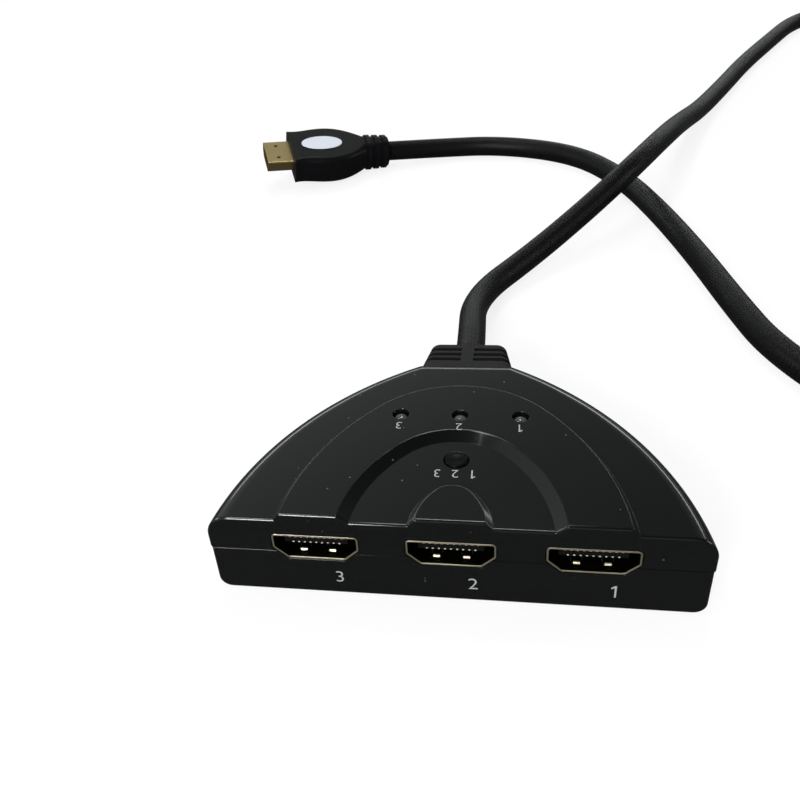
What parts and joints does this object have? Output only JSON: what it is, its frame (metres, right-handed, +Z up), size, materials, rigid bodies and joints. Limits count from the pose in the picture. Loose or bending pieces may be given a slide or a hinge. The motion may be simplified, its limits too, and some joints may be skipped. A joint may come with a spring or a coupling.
{
  "type": "hdmi switch box",
  "caption": "Fan-shaped gloss black switch box with front receptacles, a select button, indicator lights and a braided captive lead that ends in a plug.",
  "frame": {"origin": "on the table, under the middle of the box with its strain relief", "axes": "+X along the front face, +Y from the front face to the lead, +Z up"},
  "size_m": [0.2998, 0.3712, 0.0195],
  "materials": {
    "shell_black": "gloss black",
    "rubber_black": "matt black",
    "sleeve_black": "braided sleeve with a slight sheen",
    "overmold_black": "satin black",
    "button_black": "gloss black",
    "insulator_black": "matt black",
    "switch_plastic": "matt black",
    "chip_black": "matt black",
    "badge_white": "off-white, bare",
    "led_clear": "clear resin",
    "gold_plate": "gold plated",
    "contact_gold": "gold plated",
    "socket_metal": "pale gold plated",
    "screw_steel": "zinc plated",
    "tinned_wire": "tinned",
    "wire_plastic": "satin insulation",
    "board_green": "green solder mask",
    "resistor_ceramic": "fired ceramic",
    "capacitor_ceramic": "fired ceramic"
  },
  "bodies": {
    "housing": {"capacitors": "capacitor_ceramic", "case_screws": "screw_steel", "circuit_board": "board_green", "control_chip": "chip_black", "control_chip_leads": "tinned_wire", "cord": "sleeve_black", "cord_ferrule": "screw_steel", "cord_wires": "wire_plastic", "led_1": "led_clear", "led_2": "led_clear", "led_3": "led_clear", "led_leads": "tinned_wire", "lower_shell": "shell_black", "plug_badge": "badge_white", "plug_contacts": "contact_gold", "plug_insulator": "insulator_black", "plug_overmold": "overmold_black", "plug_shell": "gold_plate", "regulator": "chip_black", "regulator_leads": "tinned_wire", "resistors": "resistor_ceramic", "socket_contacts_1": "contact_gold", "socket_contacts_2": "contact_gold", "socket_contacts_3": "contact_gold", "socket_shell_1": "socket_metal", "socket_shell_2": "socket_metal", "socket_shell_3": "socket_metal", "socket_tongue_1": "insulator_black", "socket_tongue_2": "insulator_black", "socket_tongue_3": "insulator_black", "strain_relief": "rubber_black", "switch_body": "switch_plastic", "switch_chip": "chip_black", "switch_chip_leads": "tinned_wire", "switch_cover": "tinned_wire", "switch_dome": "tinned_wire", "switch_terminals": "tinned_wire", "upper_shell": "shell_black"},
    "button": {"select_button": "button_black", "switch_plunger": "button_black"}
  },
  "joints": [
    {"name": "button_press", "type": "slide", "parent": "housing", "child": "button", "axis": [0, 0, -1], "range_m": [0, 0.0003], "stiffness_N_per_m": 1500, "deforming": ["switch_dome"]}
  ]
}
